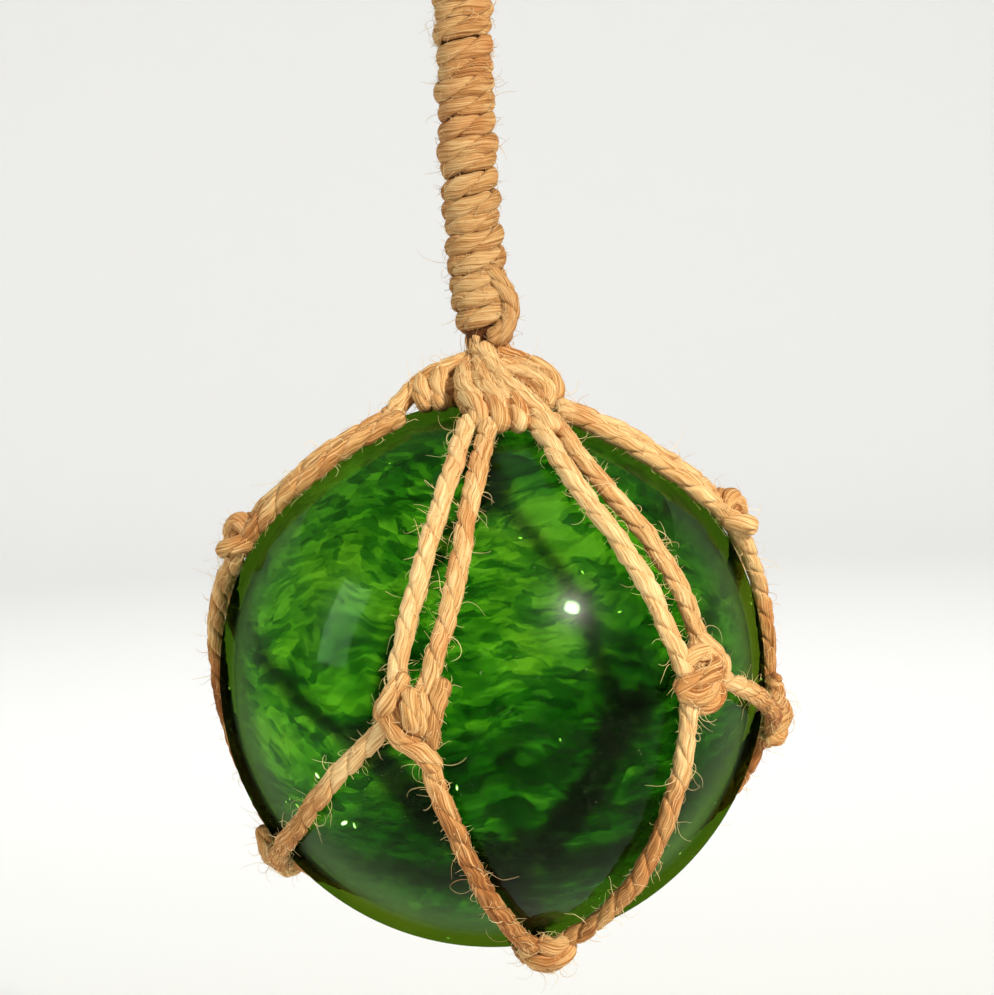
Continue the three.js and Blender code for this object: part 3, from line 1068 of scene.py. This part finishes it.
buildCrown(rng)
buildBase(rng)
print("crown and base made")


def turnedFaces(rings, sides, closed):
    # faces over a first pole, rings of points, and a second pole where it is closed
    last = 1 + rings * sides
    found = []
    for j in range(sides):
        after = (j + 1) % sides
        found.append([0, 1 + j, 1 + after])
        if closed:
            found.append([last, last - sides + after, last - sides + j])
        for a in range(1, last - sides, sides):
            b = a + sides
            found.append([a + j, b + j, b + after, a + after])
    return found


def buildGlass(rng):
    rows, sides = 80, 128
    shell = [(0.0, 0.0, 1.0)]
    for i in range(1, rows):
        rise = math.pi / 2 - math.pi * i / rows
        wide = math.cos(rise)
        for j in range(sides):
            turn = 2 * math.pi * j / sides
            shell.append((math.cos(turn) * wide, math.sin(turn) * wide, math.sin(rise)))
    shell.append((0.0, 0.0, -1.0))
    shell = np.array(shell)
    inside = np.full(len(shell), ballRadius - glass["wall"])
    for _ in range(glass["ripples"]):
        wave = rng.normal(size=3) * 5.5
        inside += glass["ripple"] * 0.35 * np.sin(shell @ wave + rng.uniform(0, 6))
    points = np.vstack([shell * ballRadius, shell * inside[:, None]])
    faces = turnedFaces(rows - 1, sides, True)
    faces += [[k + len(shell) for k in face[::-1]] for face in faces]
    mesh = bpy.data.meshes.new("glass_shell")
    mesh.from_pydata(points.tolist(), [], faces)
    mesh.polygons.foreach_set("use_smooth", [True] * len(mesh.polygons))
    mesh.materials.append(outerGlass())
    mesh.materials.append(innerGlass())
    mesh.polygons.foreach_set("material_index", np.repeat([0, 1], len(faces) // 2))
    mesh.update()
    made = bpy.data.objects.new("glass_shell", mesh)
    made.location = ballCentre
    bpy.context.scene.collection.objects.link(made)
    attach(made, "root")
    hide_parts("glass_ball")


# Bubbles in the wall, which glow as painted glints: (right, height, length) in mm on the front, and
# others all round
bubbles = {
    "front": [
        (-38.1, -12.5, 1.6), (-37.6, -18.8, 1.7), (-32.8, -23.0, 2.2), (-43.3, -20.7, 1.2),
        (-30.6, -23.4, 1.6), (-13.8, 5.3, 2.0), (-8.3, -13.5, 1.4), (27.2, 21.0, 1.0),
        (19.7, 29.6, 0.9),
    ],
    "elsewhere": 34,
    "elsewhereLength": (0.3, 1.0),
    "slimness": (0.18, 0.24),
    "depth": 0.25 * mm,  # below the outer skin
}


def buildBubbles(rng):
    bundle = Bundle()
    spots = []
    for x, z, length in bubbles["front"]:
        reach = math.sqrt((ballRadius / mm) ** 2 - x * x - z * z)
        spots.append((unit(np.array((x, -reach, z))), length * mm))
    for _ in range(bubbles["elsewhere"]):
        spots.append((unit(rng.normal(size=3)), rng.uniform(*bubbles["elsewhereLength"]) * mm))
    for out, length in spots:
        lean = unit(np.cross(out, unit(rng.normal(size=3))))
        middle = ballCentre + out * (ballRadius - bubbles["depth"])
        width = length * rng.uniform(*bubbles["slimness"])
        rows = np.linspace(0, np.pi, 9)[1:-1]
        phi = np.linspace(0, 2 * np.pi, 10, endpoint=False)
        side = np.cross(lean, out)
        points = (
            middle
            + lean * (-np.cos(rows) * length / 2)[:, None, None]
            + out * (np.sin(rows)[:, None] * np.cos(phi)[None, :] * width)[..., None]
            + side * (np.sin(rows)[:, None] * np.sin(phi)[None, :] * width)[..., None]
        )
        bundle.rings(points, points, np.ones(points.shape[:2]), np.ones(points.shape[:2]))
    bundle.piece("glass_bubbles", bubbleGlintMaterial())


buildGlass(rng)
buildBubbles(rng)
print("glass made")


# Studio: a round pale dish of a floor, a small key light, three soft ones and one for the backdrop
studio = {
    "floorDrop": 0.12,  # metres below the object
    "flatRadius": 1.6,
    "dishRadius": 2.6,
    "dishRise": 1.6,
    "floorColour": (0.92, 0.92, 0.91, 1),
    "world": 0.18,
    # direction is right, up and towards the camera, as seen through it
    "lights": [
        {
            "name": "key", "direction": (0.51, 0.457, 0.73), "distance": 0.95,
            "size": 0.09, "power": 10.2, "colour": (1.0, 0.93, 0.8),
        },
        {
            "name": "soft front", "direction": (0.5, 0.38, 0.75), "distance": 1.0,
            "size": 0.6, "power": 0.5, "colour": (0.95, 1.0, 0.97),
        },
        {
            "name": "top fill", "direction": (0.1, 1.0, 0.1), "distance": 1.3,
            "size": 1.2, "power": 2.6,
        },
        {
            "name": "left strip", "direction": (-0.86, 0.3, 0.38), "distance": 1.0,
            "size": 0.26, "tall": 0.5, "power": 4, "colour": (0.9, 1.0, 0.95),
        },
    ],
    # aims at the far side of the dish, away from the object
    "backdrop": {"size": 1.8, "tall": 0.6, "power": 18, "place": (0, 0.55, 0.75), "tilt": 66},
}


def buildStudio():
    low = cadBox[0].z - studio["floorDrop"]
    flat, wide = studio["flatRadius"], studio["dishRadius"]
    steps, sides = 16, 72
    profile = [(flat, low)]
    for i in range(1, steps + 1):
        a = math.pi / 2 * i / steps
        rise = studio["dishRise"] * (1 - math.cos(a))
        profile.append((flat + (wide - flat) * math.sin(a), low + rise))
    points = [(0, 0, low)]
    for radius, z in profile:
        for j in range(sides):
            a = 2 * math.pi * j / sides
            points.append((radius * math.cos(a), radius * math.sin(a), z))
    mesh = bpy.data.meshes.new("floor")
    mesh.from_pydata(points, [], turnedFaces(len(profile), sides, False))
    mesh.polygons.foreach_set("use_smooth", [True] * len(mesh.polygons))
    sheet = Sheet("pale floor")
    shader = sheet.principled({"Base Color": studio["floorColour"], "Roughness": 0.9})
    mesh.materials.append(sheet.finish(shader))
    floor = bpy.data.objects.new("floor", mesh)
    bpy.context.scene.collection.objects.link(floor)
    world = Sheet("studio air", world=True)
    air = {"Color": (1, 1, 1, 1), "Strength": studio["world"]}
    background = world.node("ShaderNodeBackground", {}, air)
    world.node("ShaderNodeOutputWorld", {}, {"Surface": background})
    bpy.context.scene.world = world.owner


def areaLight(name, light):
    # a disk, or a rectangle where it says how tall it is
    data = bpy.data.lights.new(name, "AREA")
    data.size, data.energy = light["size"], light["power"]
    data.shape = "DISK"
    if "tall" in light:
        data.shape, data.size_y = "RECTANGLE", light["tall"]
    if "colour" in light:
        data.color = light["colour"]
    made = bpy.data.objects.new(name, data)
    bpy.context.scene.collection.objects.link(made)
    return made


def addLights():
    axes = bpy.context.scene.camera.matrix_world.to_3x3()
    for light in studio["lights"]:
        away = (axes @ Vector(light["direction"])).normalized()
        made = areaLight(light["name"], light)
        made.location = Vector(ballCentre) + away * light["distance"]
        made.rotation_mode = "QUATERNION"
        made.rotation_quaternion = away.to_track_quat("Z", "Y")
    backdrop = studio["backdrop"]
    made = areaLight("backdrop", backdrop)
    made.location = backdrop["place"]
    made.rotation_euler = (math.radians(backdrop["tilt"]), 0, 0)


buildStudio()
bpy.context.view_layer.update()
addLights()
bpy.context.scene.view_settings.view_transform = "Standard"
print("studio lit")
